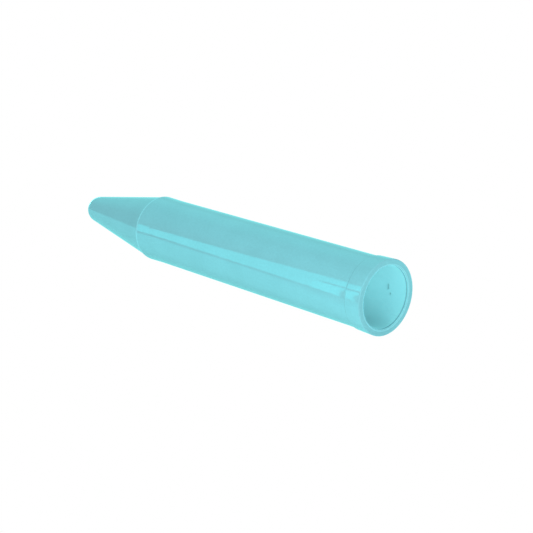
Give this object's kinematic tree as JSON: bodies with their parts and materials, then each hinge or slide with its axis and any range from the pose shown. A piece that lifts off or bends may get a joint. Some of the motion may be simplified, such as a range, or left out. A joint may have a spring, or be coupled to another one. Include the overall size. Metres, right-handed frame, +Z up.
{
  "type": "centrifuge tube",
  "caption": "Open conical-bottom centrifuge tube with a round tip, a low shoulder bead and a thicker mouth collar, moulded in glossy translucent aqua plastic.",
  "frame": {"origin": "under the middle of the tube's length, at the height of the mouth rim's lowest point, with the tube lying on its side", "axes": "+X along the tube's axis towards the open mouth, +Z up, the axis level at 8.5 mm above the origin"},
  "size_m": [0.105, 0.017, 0.017],
  "materials": {
    "aqua_polypropylene": "injection-moulded translucent polypropylene, milky aqua, glossy outside and in"
  },
  "bodies": {
    "root": {"mouth_collar": "aqua_polypropylene", "barrel": "aqua_polypropylene", "shoulder_bead": "aqua_polypropylene", "cone": "aqua_polypropylene", "round_tip": "aqua_polypropylene"}
  },
  "joints": []
}
